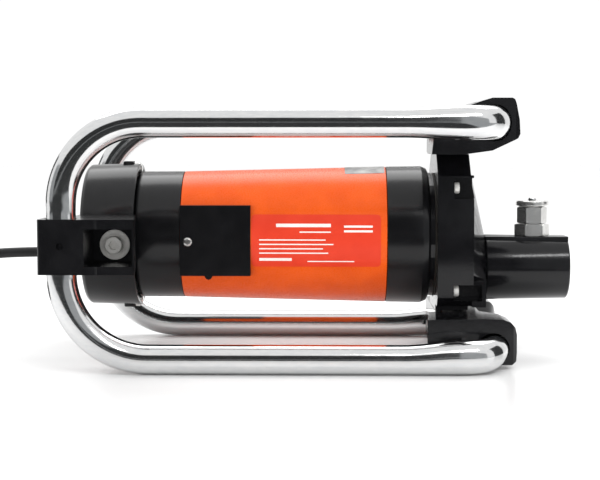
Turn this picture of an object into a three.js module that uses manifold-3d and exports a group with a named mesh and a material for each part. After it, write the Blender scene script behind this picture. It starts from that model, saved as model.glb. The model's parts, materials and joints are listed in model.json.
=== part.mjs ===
// Drive unit of an electric concrete vibrator: a universal motor with a reduction gear, carried
// between two chromed tube handles. Millimetres, +Z up, +X towards the nozzle, -Y the right side.
// Origin: on the floor, under the middle of the body's length and width.
import * as THREE from "three";
import { mergeVertices } from "three/addons/utils/BufferGeometryUtils.js";
import Module from "manifold-3d";

const wasm = await Module();
wasm.setup();

// ---- Driving dimensions ----
const GAP = 0.3; // clearance between pieces that touch
const MOTOR_Z = 96; // height of the motor axis
const SPINDLE_DROP = 26; // the output spindle turns this far below the motor axis
const SPINDLE_Z = MOTOR_Z - SPINDLE_DROP;

// Stations along X.
const COVER_REAR = -180.9;
const SHIELD_REAR = -138.9;
const HOUSING_REAR = -103.9;
const RING_REAR = 55.5;
const PLATE_REAR = 88.8;
const GASKET_REAR = 92.4;
const GEARBOX_REAR = 93.7;
const GEARBOX_FRONT = 121.2;
const NOZZLE_REAR = 134.2;
const NOZZLE_FRONT = 199.65;

// Motor casing radii.
const COVER_RADIUS = 56.5;
const SHIELD_RADIUS = 50;
const HOUSING_REAR_RADIUS = 50.1;
const HOUSING_FRONT_RADIUS = 53.8;
const WALL = 3;

// Ears and screws on the rear cover's rim, measured from the motor axis.
const EAR_REAR = -153;
const EAR_FRONT = -144.4;
const COVER_SCREW_Z = 52.2;
const COVER_SCREW_HEAD = 5.9;
const COVER_SCREW_SHANK = 2.2;

// Brush covers: flat panels on both sides of the housing.
const BRUSH_COVER_REAR = HOUSING_REAR;
const BRUSH_COVER_FRONT = -49.6;
const BRUSH_COVER_Y = 51.8;
const BRUSH_COVER_Z = [-29.2, 25];
const BRUSH_SCREW_X = -97.85;
const BRUSH_SCREW_Z = -3;

// Gear housing: ears above and below carry the crossbars.
const EAR_HALF_WIDTH = 30;
const EAR_TOP = 160;
const EAR_BOTTOM = 38.4;
const LUG_Y = 51.5;
const SCREW_POCKET_Y = 36;

// Handles.
const TUBE_RADIUS = 11;
const TUBE_HOLE = 12.1; // holes that hold the tubes
const TUBE_Y = 110;
const TUBE_LEG_X = -184.65;
const TUBE_TOP_Z = 183.6;
const TUBE_BOTTOM_Z = TUBE_RADIUS;
const TOP_BEND = 59;
const BOTTOM_BEND = 63;
const FRONT_BEND = 25;
const TUBE_FRONT_X = 133.2;
const TUBE_END_Y = 62;
const LEG_BOTTOM_Z = 15.75; // the lower tube rises to this height inside its crossbar
const CROSSBAR_Y = 85;
const CROSSBAR_REAR_LEFT = 94;

// Bolts of the crossbars.
const BOLT_RADIUS = 3.95;
const BOLT_HOLE = 4.3;
const BOLT_HEAD = 6.5;
const CROSSBAR_BOLT_X = 104;
const CROSSBAR_BOLT_Y = 18;
const CROSSBAR_BOLT_TIPS = [50, 148];

// Rear clamp blocks.
const BLOCK_REAR = -199.65;
const BLOCK_STEP = -165.8;
const BLOCK_FRONT = -129.9;
const BLOCK_LOW = 74;
const BLOCK_HIGH = 114;
const BLOCK_OUTER_Y = 126;
const CLAMP_BOLT_X = -149.5;
const CLAMP_BOLT_Z = 93;
const BLOCK_TAPER = 9; // the block's front end narrows by this much towards the casing
const POCKET_FLOOR_Y = 80;
const WASHER_RADIUS = 11.3;
const WASHER_THICKNESS = 1.6;

// Reduction gear: module 1.
const PINION_TEETH = 13;
const GEAR_TEETH = 39;
const GEAR_MODULE = 1;
const GEAR_REAR = 98;
const GEAR_FRONT = 108;

// Lock pin on the nozzle.
const LOCK_X = 172.35;
const NOZZLE_RADIUS = 26;
const NOZZLE_BORE = 19;
const LOCK_SEAT_Z = SPINDLE_Z + 25.2;
const LOCK_NUT_HEIGHT = 9.3;
const LOCK_BARREL_HEIGHT = 13.2;
const LOCK_CAP_HEIGHT = 4.6;
const LOCK_PIN_RADIUS = 2.75;

// Rocker switch on the rear face.
const SWITCH_PIVOT_X = COVER_REAR + 0.5;
const SWITCH_PIVOT_Z = 113;
const ROCKER_TILT = THREE.MathUtils.degToRad(11);

// Cable.
const CABLE_RADIUS = 4;
const CABLE_EXIT_Z = 81.5;
const STRAIN_RELIEF_LENGTH = 38;
const COIL_MEAN_RADIUS = 45;
const COIL_HALF_WIDTH = 12.4;
const COIL_HEIGHT = 24.4;
const COIL_X = -402;
const COIL_OUTER_TURN = COIL_MEAN_RADIUS + 2 * CABLE_RADIUS;
const COIL_Y = COIL_OUTER_TURN; // the cable runs straight into the outermost turn
const PLUG_Z = 18.6;

// Motor internals.
const CORE_ENDS = [-54, 16];
const SHAFT_RADIUS = 5.9;
const FAN_BLADES = 12;

// Facets of a full turn.
const ROUND = 30; // casings
const FINE = 16; // shafts, bearings and other middle sizes
const SMALL = 10; // screws and their holes
const TUBE_SIDES = 12;
const CORNER_STEPS = 5; // a rounded corner of an outline

// ---- Colours ----
const finish = (color, roughness, metalness) => ({ color, roughness, metalness });
const BLACK_PLASTIC = finish(0x1c1c1e, 0.5, 0);
const BLACK_PAINT = finish(0x18181a, 0.45, 0.1);
const ORANGE = finish(0xf0561c, 0.45, 0);
const CHROME = finish(0xd8dadc, 0.12, 1);
const STEEL = finish(0xa8abae, 0.35, 1);
const COPPER = finish(0xb06a3c, 0.4, 1);
const LAMINATION = finish(0x6f7276, 0.5, 0.9);
const RUBBER = finish(0x222224, 0.8, 0);
const RED_PLASTIC = finish(0xb01818, 0.4, 0);
const CARBON = finish(0x2c2c2e, 0.7, 0.1);
const BRASS = finish(0xb99a4b, 0.35, 1);
const PAPER = finish(0x6a5a40, 0.9, 0);

// ---- Solid modelling helpers ----
function solid(geometry) {
  const bare = geometry.clone();
  bare.deleteAttribute("normal");
  bare.deleteAttribute("uv");
  const merged = mergeVertices(bare, 1e-4);
  return new wasm.Manifold(
    new wasm.Mesh({
      numProp: 3,
      vertProperties: merged.attributes.position.array,
      triVerts: new Uint32Array(merged.index.array),
    }),
  );
}

function geometryOf(manifold) {
  const mesh = manifold.getMesh();
  const geometry = new THREE.BufferGeometry();
  geometry.setAttribute("position", new THREE.BufferAttribute(mesh.vertProperties, 3));
  geometry.setIndex(new THREE.BufferAttribute(mesh.triVerts, 1));
  return geometry;
}

const join = (...parts) => parts.reduce((sum, part) => sum.add(part));
const cut = (body, ...tools) => tools.reduce((rest, tool) => rest.subtract(tool), body);

function box([x0, x1], [y0, y1], [z0, z1]) {
  const geometry = new THREE.BoxGeometry(x1 - x0, y1 - y0, z1 - z0);
  return solid(geometry.translate((x0 + x1) / 2, (y0 + y1) / 2, (z0 + z1) / 2));
}

// A profile of [x, radius] points turned about the X axis.
function turnedX(profile, segments = ROUND) {
  const points = profile.map(([x, radius]) => new THREE.Vector2(radius, x));
  return solid(new THREE.LatheGeometry(points, segments).rotateZ(-Math.PI / 2));
}

// A profile of [radius, z] points turned about the Z axis.
function turnedZ(profile, segments = ROUND) {
  const points = profile.map(([radius, z]) => new THREE.Vector2(radius, z));
  return solid(new THREE.LatheGeometry(points, segments).rotateX(Math.PI / 2));
}

const rodX = (radius, [x0, x1], segments = FINE) =>
  turnedX([[x0, 0], [x0, radius], [x1, radius], [x1, 0]], segments);
const rodZ = (radius, [z0, z1], segments = FINE) =>
  turnedZ([[0, z0], [radius, z0], [radius, z1], [0, z1]], segments);
const sleeveX = (inner, outer, [x0, x1], segments = FINE) =>
  turnedX([[x0, inner], [x0, outer], [x1, outer], [x1, inner], [x0, inner]], segments);

// A rod along Y whose centre is at x, z.
function rodY(radius, x, z, [y0, y1], segments = SMALL) {
  const geometry = new THREE.CylinderGeometry(radius, radius, y1 - y0, segments);
  return solid(geometry.translate(x, (y0 + y1) / 2, z));
}

const outlineOf = (points) => new THREE.Shape(points.map(([a, b]) => new THREE.Vector2(a, b)));

function extruded(outline, depth) {
  const shape = outline instanceof THREE.Shape ? outline : outlineOf(outline);
  return new THREE.ExtrudeGeometry(shape, { depth, bevelEnabled: false, curveSegments: CORNER_STEPS });
}

// An [x, z] outline made solid between two Y values.
function prismY(outline, [y0, y1]) {
  return solid(extruded(outline, y1 - y0).rotateX(Math.PI / 2).translate(0, y1, 0));
}

// A [y, z] outline made solid between two X values.
function prismX(outline, [x0, x1]) {
  const geometry = extruded(outline, x1 - x0);
  return solid(geometry.rotateZ(Math.PI / 2).rotateY(Math.PI / 2).translate(x0, 0, 0));
}

// An [x, y] outline made solid between two Z values.
function prismZ(outline, [z0, z1]) {
  return solid(extruded(outline, z1 - z0).translate(0, 0, z0));
}

function hexagon(acrossFlats) {
  const corner = acrossFlats / Math.sqrt(3);
  const corners = [0, 1, 2, 3, 4, 5].map((k) => k * (Math.PI / 3));
  return corners.map((angle) => [corner * Math.cos(angle), corner * Math.sin(angle)]);
}

function roundedRectangle(x0, x1, y0, y1, radius) {
  const shape = new THREE.Shape();
  shape.moveTo(x0 + radius, y0);
  shape.lineTo(x1 - radius, y0);
  shape.absarc(x1 - radius, y0 + radius, radius, -Math.PI / 2, 0);
  shape.absarc(x1 - radius, y1 - radius, radius, 0, Math.PI / 2);
  shape.absarc(x0 + radius, y1 - radius, radius, Math.PI / 2, Math.PI);
  shape.absarc(x0 + radius, y0 + radius, radius, Math.PI, 1.5 * Math.PI);
  return shape;
}

// A route that is followed exactly from one listed point to the next.
class Route extends THREE.Curve {
  constructor(points) {
    super();
    this.points = points;
  }

  getPoint(t, target = new THREE.Vector3()) {
    const place = Math.min(Math.max(t, 0), 1) * (this.points.length - 1);
    const index = Math.min(Math.floor(place), this.points.length - 2);
    return target.lerpVectors(this.points[index], this.points[index + 1], place - index);
  }

  getPointAt(u, target) {
    return this.getPoint(u, target);
  }

  getTangentAt(u, target = new THREE.Vector3()) {
    const step = 0.5 / (this.points.length - 1);
    const ahead = this.getPoint(Math.min(u + step, 1));
    const behind = this.getPoint(Math.max(u - step, 0));
    return target.subVectors(ahead, behind).normalize();
  }
}

// Points of a quarter bend that starts along one direction and ends along the other.
function bend(corner, from, to, radius, count = 8) {
  const centre = corner.clone().addScaledVector(from, -radius).addScaledVector(to, radius);
  const angles = Array.from({ length: count + 1 }, (_, k) => (k / count) * (Math.PI / 2));
  return angles.map((angle) =>
    centre
      .clone()
      .addScaledVector(to, -radius * Math.cos(angle))
      .addScaledVector(from, radius * Math.sin(angle)),
  );
}

// The section has a flat on each of its four sides, so the tube rests on one.
function tubeAlong(points, radius, sides) {
  const section = new THREE.Shape();
  const corners = Array.from({ length: sides }, (_, k) => ((k + 0.5) / sides) * 2 * Math.PI);
  const reach = radius / Math.cos(Math.PI / sides);
  section.setFromPoints(
    corners.map((angle) => new THREE.Vector2(reach * Math.cos(angle), reach * Math.sin(angle))),
  );
  const path = new Route(points);
  return new THREE.ExtrudeGeometry(section, { steps: points.length - 1, extrudePath: path });
}

// ---- Scene graph ----
const vibrator = new THREE.Group();
const motor = new THREE.Group();
motor.position.z = MOTOR_Z;
const spindleLine = new THREE.Group();
spindleLine.position.z = SPINDLE_Z;
const lock = new THREE.Group();
lock.position.set(LOCK_X, 0, LOCK_SEAT_Z);
vibrator.add(motor, spindleLine, lock);

function piece(group, name, shape, look) {
  const geometry = shape instanceof THREE.BufferGeometry ? shape : geometryOf(shape);
  const mesh = new THREE.Mesh(geometry, new THREE.MeshStandardMaterial(look));
  mesh.name = name;
  group.add(mesh);
  return mesh;
}

const SIDES = [
  ["right", -1],
  ["left", 1],
];
const LEVELS = [
  ["bottom", -1],
  ["top", 1],
];
const span = (side, a, b) => (side < 0 ? [-b, -a] : [a, b]);

// ---- Motor casing, about the motor axis ----
function makeRearCover() {
  const front = SHIELD_REAR - GAP;
  const floor = COVER_REAR + 4;
  const shell = turnedX([
    [COVER_REAR, 0], [COVER_REAR, COVER_RADIUS - 18], [COVER_REAR + 1.5, COVER_RADIUS - 5.5],
    [COVER_REAR + 4.6, COVER_RADIUS - 1.5], [COVER_REAR + 10, COVER_RADIUS - 1],
    [front, COVER_RADIUS], [front, COVER_RADIUS - WALL], [floor, COVER_RADIUS - WALL - 5], [floor, 0],
  ]);
  const cableHole = rodX(5.2, [COVER_REAR - 5, floor + 5]).translate([0, 0, CABLE_EXIT_Z - MOTOR_Z]);
  const switchWindow = box([COVER_REAR - 5, floor + 5], [-11.3, 11.3], [6.7, 27.3]);
  const bosses = SIDES.map(([, side]) =>
    rodY(9, CLAMP_BOLT_X, CLAMP_BOLT_Z - MOTOR_Z, span(side, 34, COVER_RADIUS - 2)));
  const boltHoles = SIDES.map(([, side]) =>
    rodY(BOLT_HOLE, CLAMP_BOLT_X, CLAMP_BOLT_Z - MOTOR_Z, span(side, 36, COVER_RADIUS + 3)));
  const ears = LEVELS.map(([, up]) =>
    box([EAR_REAR, EAR_FRONT], [-6.5, 6.5], span(up, SHIELD_RADIUS + 1, COVER_RADIUS + 1.7)));
  const screwSeats = LEVELS.map(([, up]) =>
    join(
      rodX(COVER_SCREW_SHANK + GAP, [EAR_REAR - 4, EAR_FRONT + 1]),
      rodX(COVER_SCREW_HEAD + GAP, [EAR_FRONT, front + 1]),
    ).translate([0, 0, up * COVER_SCREW_Z]));
  const cover = cut(join(shell, ...bosses, ...ears), cableHole, switchWindow, ...boltHoles, ...screwSeats);
  piece(motor, "rear_cover", cover, BLACK_PLASTIC);
}

// Screws above and below the casing, through the two ears on the rear cover's rim.
function makeCoverScrews() {
  LEVELS.forEach(([name, up]) => {
    const screw = join(
      rodX(COVER_SCREW_HEAD, [EAR_FRONT + GAP, SHIELD_REAR - GAP]),
      rodX(COVER_SCREW_SHANK, [EAR_REAR - 3, EAR_FRONT + 1]),
    );
    piece(motor, "cover_screw_" + name, screw.translate([0, 0, up * COVER_SCREW_Z]), STEEL);
  });
}

function makeEndShield() {
  const rear = SHIELD_REAR;
  const front = HOUSING_REAR - GAP;
  const web = -129;
  const shell = turnedX([
    [rear, SHIELD_RADIUS - WALL], [rear, SHIELD_RADIUS], [front, SHIELD_RADIUS + 0.1],
    [front, SHIELD_RADIUS - WALL], [web + 4, SHIELD_RADIUS - WALL], [web + 4, 15], [web + 14, 15],
    [web + 14, 11.05], [web, 11.05], [web, SHIELD_RADIUS - WALL], [rear, SHIELD_RADIUS - WALL],
  ]);
  piece(motor, "rear_end_shield", shell, BLACK_PLASTIC);
}

function makeMotorHousing() {
  const front = RING_REAR - GAP;
  const shell = turnedX([
    [HOUSING_REAR, HOUSING_REAR_RADIUS - WALL], [HOUSING_REAR, HOUSING_REAR_RADIUS],
    [front, HOUSING_FRONT_RADIUS], [front, HOUSING_FRONT_RADIUS - WALL],
    [HOUSING_REAR, HOUSING_REAR_RADIUS - WALL],
  ]);
  const windows = SIDES.flatMap(([, side]) => [
    box([HOUSING_REAR + 10, BRUSH_COVER_FRONT - 4], span(side, 30, 60), [-24, 20]),
    rodY(1.9, BRUSH_SCREW_X, BRUSH_SCREW_Z, span(side, 30, 60)),
  ]);
  piece(motor, "motor_housing", cut(shell, ...windows), ORANGE);
}

function makeFrontRing() {
  const front = PLATE_REAR - GAP;
  piece(motor, "front_ring", turnedX([
    [RING_REAR, 50.5], [RING_REAR, 53.9], [front - 5, 54.2], [front - 1.5, 53], [front, 50.5],
    [front, 46], [RING_REAR + 4, 47.5], [RING_REAR, 50.5],
  ]), BLACK_PLASTIC);
}

function makeBrushCovers() {
  SIDES.forEach(([name, side]) => {
    const slab = box([BRUSH_COVER_REAR, BRUSH_COVER_FRONT], span(side, 38, BRUSH_COVER_Y), BRUSH_COVER_Z);
    const casing = turnedX([
      [BRUSH_COVER_REAR - 1, 0], [BRUSH_COVER_REAR - 1, HOUSING_REAR_RADIUS + GAP],
      [BRUSH_COVER_FRONT + 1, HOUSING_REAR_RADIUS + 1.6], [BRUSH_COVER_FRONT + 1, 0],
    ]);
    const bump = rodY(3, -82, BRUSH_COVER_Z[0], span(side, 45, BRUSH_COVER_Y - 1));
    const screwHole = rodY(1.9, BRUSH_SCREW_X, BRUSH_SCREW_Z, span(side, 30, 60));
    const seat = rodY(3.8, BRUSH_SCREW_X, BRUSH_SCREW_Z, span(side, BRUSH_COVER_Y - 1.2, 60));
    piece(motor, "brush_cover_" + name, cut(join(slab, bump), casing, screwHole, seat), BLACK_PLASTIC);
    const screw = join(
      rodY(3.4, BRUSH_SCREW_X, BRUSH_SCREW_Z, span(side, BRUSH_COVER_Y - 0.9, BRUSH_COVER_Y + 0.6)),
      rodY(1.6, BRUSH_SCREW_X, BRUSH_SCREW_Z, span(side, BRUSH_COVER_Y - 6, BRUSH_COVER_Y - 0.6)),
    );
    piece(motor, "brush_cover_screw_" + name, screw, STEEL);
  });
}

// ---- Motor internals ----
function makeStator() {
  const [rear, front] = CORE_ENDS;
  const core = sleeveX(29, 46.5, [rear, front], ROUND);
  const slots = LEVELS.map(([, up]) => box([rear - 1, front + 1], [-22, 22], span(up, 20, 39)));
  piece(motor, "stator_core", cut(core, ...slots), LAMINATION);
  LEVELS.forEach(([name, up]) => {
    const [low, high] = span(up, 30, 38.5);
    const coil = cut(
      box([rear - 9, front + 9], [-21.5, 21.5], [low, high]),
      box([rear - GAP, front + GAP], [-9, 9], [low - 1, high + 1]),
    );
    piece(motor, "field_coil_" + name, coil, COPPER);
  });
}

function makeArmature() {
  const [rear, front] = CORE_ENDS;
  const bore = SHAFT_RADIUS + GAP;
  const shaft = turnedX([
    [-127, 0], [-127, 3.95], [-115, 3.95], [-115, SHAFT_RADIUS], [83, SHAFT_RADIUS], [83, 4.95], [97, 4.95],
    [97, 3.9], [109, 3.9], [109, 0],
  ], FINE);
  piece(motor, "armature_shaft", shaft, STEEL);
  piece(motor, "armature_core", sleeveX(bore, 28.2, [rear, front], ROUND), LAMINATION);
  piece(motor, "rear_winding", sleeveX(bore, 24, [rear - 10, rear - GAP]), COPPER);
  piece(motor, "front_winding", sleeveX(bore, 24, [front + GAP, front + 12]), COPPER);
  piece(motor, "commutator", sleeveX(bore, 19, [-98, -70], ROUND), BRASS);
  const blades = Array.from({ length: FAN_BLADES }, (_, k) =>
    box([39, 50], [20, 41.5], [-1, 1]).rotate([(k * 360) / FAN_BLADES, 0, 0]));
  const disc = sleeveX(bore, 42, [36, 39.2], ROUND);
  const hub = sleeveX(bore, 12, [36, 52]);
  piece(motor, "cooling_fan", join(disc, hub, ...blades), BLACK_PLASTIC);
  piece(motor, "rear_bearing", sleeveX(4.25, 10.75, [-126, -118]), STEEL);
  piece(motor, "front_bearing", sleeveX(5.25, 14.75, [84, 92]), STEEL);
}

function makeBrushGear() {
  SIDES.forEach(([name, side]) => {
    const holder = cut(
      box([-91, -77], span(side, 21, 43), [-5.5, 5.5]),
      box([-88.3, -79.7], span(side, 20, 41), [-3.3, 3.3]),
    );
    piece(motor, "brush_holder_" + name, holder, BRASS);
    piece(motor, "carbon_brush_" + name, box([-88, -80], span(side, 19.4, 36), [-3, 3]), CARBON);
  });
}

// ---- Bearing plate, gear housing and gears ----
function makeBearingPlate() {
  const plate = join(
    rodX(49, [PLATE_REAR, GASKET_REAR - GAP], ROUND),
    rodX(19, [PLATE_REAR - 6.5, PLATE_REAR]),
    rodX(12, [PLATE_REAR - 6.5, PLATE_REAR]).translate([0, 0, -SPINDLE_DROP]),
  );
  const bearingSeat = rodX(15, [83.7, 95]);
  const shaftHole = rodX(8, [70, 100]);
  const spindleSeat = rodX(8.2, [84.7, 95]).translate([0, 0, -SPINDLE_DROP]);
  piece(motor, "bearing_plate", cut(plate, bearingSeat, shaftHole, spindleSeat), BLACK_PAINT);
  piece(motor, "gear_gasket", sleeveX(45.5, 49, [GASKET_REAR, GASKET_REAR + 1], ROUND), PAPER);
}

// Half of the casting's outline: from the top ear down to the bottom ear.
const CASTING_OUTLINE = [
  [EAR_HALF_WIDTH, EAR_TOP], [50, 143.5], [54, 120], [55, MOTOR_Z], [54, 74], [51, 50], [44, 43],
];

function makeGearHousing() {
  const mirrored = CASTING_OUTLINE.map(([y, z]) => [-y, z]).reverse();
  const flange = prismX([...CASTING_OUTLINE, ...mirrored], [GEARBOX_REAR, GEARBOX_FRONT]);
  const earSlab = box([119, 130], [-60, 60], [144, 170]);
  const bottomEar = box([GEARBOX_REAR, 119], [-EAR_HALF_WIDTH, EAR_HALF_WIDTH], [EAR_BOTTOM, 60]);
  const length = NOZZLE_REAR - GAP - GEARBOX_FRONT;
  const cone = new THREE.CylinderGeometry(54, NOZZLE_RADIUS, length, ROUND).rotateZ(Math.PI / 2);
  const shear = new THREE.Matrix4().makeShear(0, -SPINDLE_DROP / length, 0, 0, 0, 0);
  cone.applyMatrix4(shear).translate(GEARBOX_FRONT + length / 2, 0, MOTOR_Z - SPINDLE_DROP / 2);
  const lugs = SIDES.map(([, side]) => box([GEARBOX_FRONT - 1, 131], span(side, 28, LUG_Y), [43, 63]));
  const body = join(cut(flange, earSlab), bottomEar, solid(cone), ...lugs);

  const motorCavity = rodX(21, [GEARBOX_REAR - 1, 112]).translate([0, 0, MOTOR_Z]);
  const gearCavity = rodX(24, [GEARBOX_REAR - 1, 112], ROUND).translate([0, 0, SPINDLE_Z]);
  const bearingSeat = rodX(13.2, [110, 122.3]).translate([0, 0, SPINDLE_Z]);
  const spindleHole = rodX(9, [120, 136]).translate([0, 0, SPINDLE_Z]);
  const pockets = SIDES.flatMap(([, side]) => [
    box([106.2, 125], span(side, SCREW_POCKET_Y, 62), [126, 142]),
    box([106.2, 128], span(side, SCREW_POCKET_Y, 62), [47.5, 60]),
  ]);
  const depths = [[CROSSBAR_BOLT_TIPS[1], EAR_TOP + 1], [EAR_BOTTOM - 1, CROSSBAR_BOLT_TIPS[0]]];
  const boltHoles = SIDES.flatMap(([, side]) =>
    depths.map((depth) => rodZ(BOLT_HOLE, depth).translate([CROSSBAR_BOLT_X, side * CROSSBAR_BOLT_Y, 0])));
  const housing = cut(body, motorCavity, gearCavity, bearingSeat, spindleHole, ...pockets, ...boltHoles);
  piece(vibrator, "gear_housing", housing, BLACK_PAINT);
}

// A spur gear whose flanks are straight, thinned a little for backlash.
function gearOutline(teeth, turn) {
  const pitch = (teeth * GEAR_MODULE) / 2;
  const root = pitch - 1.25 * GEAR_MODULE;
  const tip = pitch + 0.9 * GEAR_MODULE;
  const pitchAngle = (2 * Math.PI) / teeth;
  const halfRoot = 0.36 * pitchAngle;
  const halfTip = 0.11 * pitchAngle;
  const corners = [[-halfRoot, root], [-halfTip, tip], [halfTip, tip], [halfRoot, root]];
  return Array.from({ length: teeth }, (_, k) =>
    corners.map(([angle, radius]) => {
      const a = turn + k * pitchAngle + angle;
      return [radius * Math.cos(a), radius * Math.sin(a)];
    })).flat();
}

function makeGears() {
  const pinion = cut(
    prismX(gearOutline(PINION_TEETH, -Math.PI / 2), [GEAR_REAR, GEAR_FRONT]),
    rodX(4.2, [GEAR_REAR - 1, GEAR_FRONT + 1]),
  );
  piece(motor, "drive_pinion", pinion, STEEL);
  const meshTurn = Math.PI / 2 + Math.PI / GEAR_TEETH;
  const gear = cut(
    prismX(gearOutline(GEAR_TEETH, meshTurn), [GEAR_REAR, GEAR_FRONT]),
    rodX(7.2, [GEAR_REAR - 1, GEAR_FRONT + 1]),
  );
  piece(spindleLine, "output_gear", gear, STEEL);
}

function makeSpindle() {
  const spindle = turnedX([
    [86, 0], [86, 3.95], [94, 3.95], [94, 6.9], [109, 6.9], [109, 7.45], [134, 7.45], [134, 6],
    [142, 6], [142, 0],
  ], FINE);
  piece(spindleLine, "output_spindle", spindle, STEEL);
  piece(spindleLine, "spindle_rear_bearing", sleeveX(4.25, 7.95, [85, 91]), STEEL);
  piece(spindleLine, "spindle_front_bearing", sleeveX(7.75, 12.95, [112.6, 121.6]), STEEL);
  const coupling = cut(
    sleeveX(6.3, 11, [136.5, 158]),
    box([142.3, 160], [-5, 5], [-5, 5]),
  );
  piece(spindleLine, "drive_coupling", coupling, STEEL);
}

// ---- Nozzle and its lock pin ----
function makeNozzle() {
  const shell = turnedX([
    [NOZZLE_REAR, NOZZLE_BORE], [NOZZLE_REAR, NOZZLE_RADIUS], [NOZZLE_FRONT - 1, 24.9],
    [NOZZLE_FRONT, 23.9], [NOZZLE_FRONT, NOZZLE_BORE], [NOZZLE_REAR, NOZZLE_BORE],
  ]);
  const seat = LOCK_SEAT_Z - SPINDLE_Z - GAP;
  const strip = box([NOZZLE_REAR, NOZZLE_FRONT], [-13, 13], [NOZZLE_BORE + 1.5, seat]);
  const pinHole = rodZ(4.4, [10, 30]).translate([LOCK_X, 0, 0]);
  const lid = box([NOZZLE_REAR - 1, NOZZLE_FRONT + 1], [-30, 30], [seat, 30]);
  piece(spindleLine, "shaft_nozzle", cut(join(shell, strip), pinHole, lid), BLACK_PAINT);
}

function makeLock() {
  const nut = cut(
    prismZ(hexagon(24), [0, LOCK_NUT_HEIGHT]),
    rodZ(7.2, [-1, LOCK_NUT_HEIGHT + 1]),
  );
  piece(lock, "lock_nut", nut, STEEL);
  const base = LOCK_NUT_HEIGHT + GAP;
  const top = base + LOCK_BARREL_HEIGHT;
  const barrel = cut(
    join(prismZ(hexagon(20.5), [base, top]), rodZ(6.9, [0.4, base + 1])),
    rodZ(5.4, [4, top - 2.5]),
    rodZ(3.2, [-1, top + 1]),
  );
  piece(lock, "lock_barrel", barrel, STEEL);
  const capLow = top + GAP;
  const cap = cut(
    turnedZ([
      [0, capLow], [12.4, capLow], [13, capLow + 0.8], [13, capLow + 3.6], [12.2, capLow + LOCK_CAP_HEIGHT],
      [0, capLow + LOCK_CAP_HEIGHT],
    ]),
    rodZ(LOCK_PIN_RADIUS + GAP, [capLow - 1, capLow + 6]),
  );
  piece(lock, "lock_cap", cap, STEEL);
  const capTop = capLow + LOCK_CAP_HEIGHT;
  const pin = turnedZ([
    [0, -10], [2, -10], [LOCK_PIN_RADIUS, -8.5], [LOCK_PIN_RADIUS, 4.4], [4.9, 4.4], [4.9, 6.2],
    [LOCK_PIN_RADIUS, 6.2], [LOCK_PIN_RADIUS, capTop + GAP], [3.3, capTop + GAP], [3.1, capTop + 1.9],
    [0, capTop + 2.3],
  ], FINE);
  piece(lock, "lock_pin", pin, CHROME);
  // The spring's outer shape, between the pin's collar and the barrel's roof.
  const [inner, outer, low, high] = [3.3, 4.8, 6.5, top - 2.8];
  const spring = turnedZ([[inner, low], [outer, low], [outer, high], [inner, high], [inner, low]], FINE);
  piece(lock, "lock_spring", spring, STEEL);
}

// ---- Tube handles, crossbars and clamp blocks ----
function pressFrontEnd(geometry, side) {
  const position = geometry.attributes.position;
  const middle = (TUBE_TOP_Z + TUBE_BOTTOM_Z) / 2;
  for (let k = 0; k < position.count; k += 1) {
    const pressed = THREE.MathUtils.smoothstep(position.getX(k), 65, 108);
    const inward = THREE.MathUtils.smoothstep(TUBE_Y - side * position.getY(k), -5, FRONT_BEND);
    const z = position.getZ(k);
    const tall = 1 + 0.14 * pressed;
    const inCrossbar = LEG_BOTTOM_Z + (z - TUBE_BOTTOM_Z) * 0.96;
    const lower = THREE.MathUtils.lerp(z * tall, inCrossbar, inward * pressed);
    position.setZ(k, z > middle ? TUBE_TOP_Z + (z - TUBE_TOP_Z) * tall : lower);
  }
  return geometry;
}

function makeHandleTubes() {
  SIDES.forEach(([name, side]) => {
    const y = side * TUBE_Y;
    const at = (x, yy, z) => new THREE.Vector3(x, yy, z);
    const [forward, back] = [at(1, 0, 0), at(-1, 0, 0)];
    const [down, up] = [at(0, 0, -1), at(0, 0, 1)];
    const [outward, inward] = [at(0, side, 0), at(0, -side, 0)];
    const straight = [68, 82, 96].map((x) => at(x, y, TUBE_TOP_Z));
    const points = [
      at(TUBE_FRONT_X, side * TUBE_END_Y, TUBE_TOP_Z),
      ...bend(at(TUBE_FRONT_X, y, TUBE_TOP_Z), outward, back, FRONT_BEND, 5),
      ...straight.slice().reverse(),
      ...bend(at(TUBE_LEG_X, y, TUBE_TOP_Z), back, down, TOP_BEND, 7),
      ...bend(at(TUBE_LEG_X, y, TUBE_BOTTOM_Z), down, forward, BOTTOM_BEND, 7),
      ...straight.map((point) => point.clone().setZ(TUBE_BOTTOM_Z)),
      ...bend(at(TUBE_FRONT_X, y, TUBE_BOTTOM_Z), forward, inward, FRONT_BEND, 5),
      at(TUBE_FRONT_X, side * TUBE_END_Y, TUBE_BOTTOM_Z),
    ];
    const tube = pressFrontEnd(tubeAlong(points, TUBE_RADIUS, TUBE_SIDES), side);
    piece(vibrator, "handle_tube_" + name, tube, CHROME);
  });
}

// Plan outline of a crossbar: narrow over the gear housing, and reaching forward at both ends. Its
// right end also reaches to the rear, as far as one station at its tip and another at its root.
function crossbarPlan([rearTip, rearRoot]) {
  const frontHalf = [
    [148, -CROSSBAR_Y], [152.3, -80], [152.3, -70], [146, -52], [134, -40], [127.4, -32],
  ];
  const otherHalf = frontHalf.map(([x, y]) => [x, -y]).reverse();
  const rearEdge = [[CROSSBAR_REAR_LEFT, CROSSBAR_Y], [CROSSBAR_REAR_LEFT, -30], [rearRoot, -36]];
  return [[rearTip, -CROSSBAR_Y], ...frontHalf, ...otherHalf, ...rearEdge];
}

const TOP_PROFILE = [
  [86.4, 160.4], [111, 160.4], [131.2, 163.2], [150.5, 172.3], [152.3, 175.6], [151.6, 186], [149, 197.5],
  [147.5, 201.2], [145.6, 202.2], [131, 202.2], [120.8, 199], [104, 193], [94, 186], [88, 176],
];
const BOTTOM_PROFILE = [
  [84, 3.5], [147, 3.5], [150.5, 6], [151, 12], [151, 26], [149.5, 31.5], [146, 35.5], [140, 37.6], [124, 38],
  [84, 37.2],
];

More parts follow.
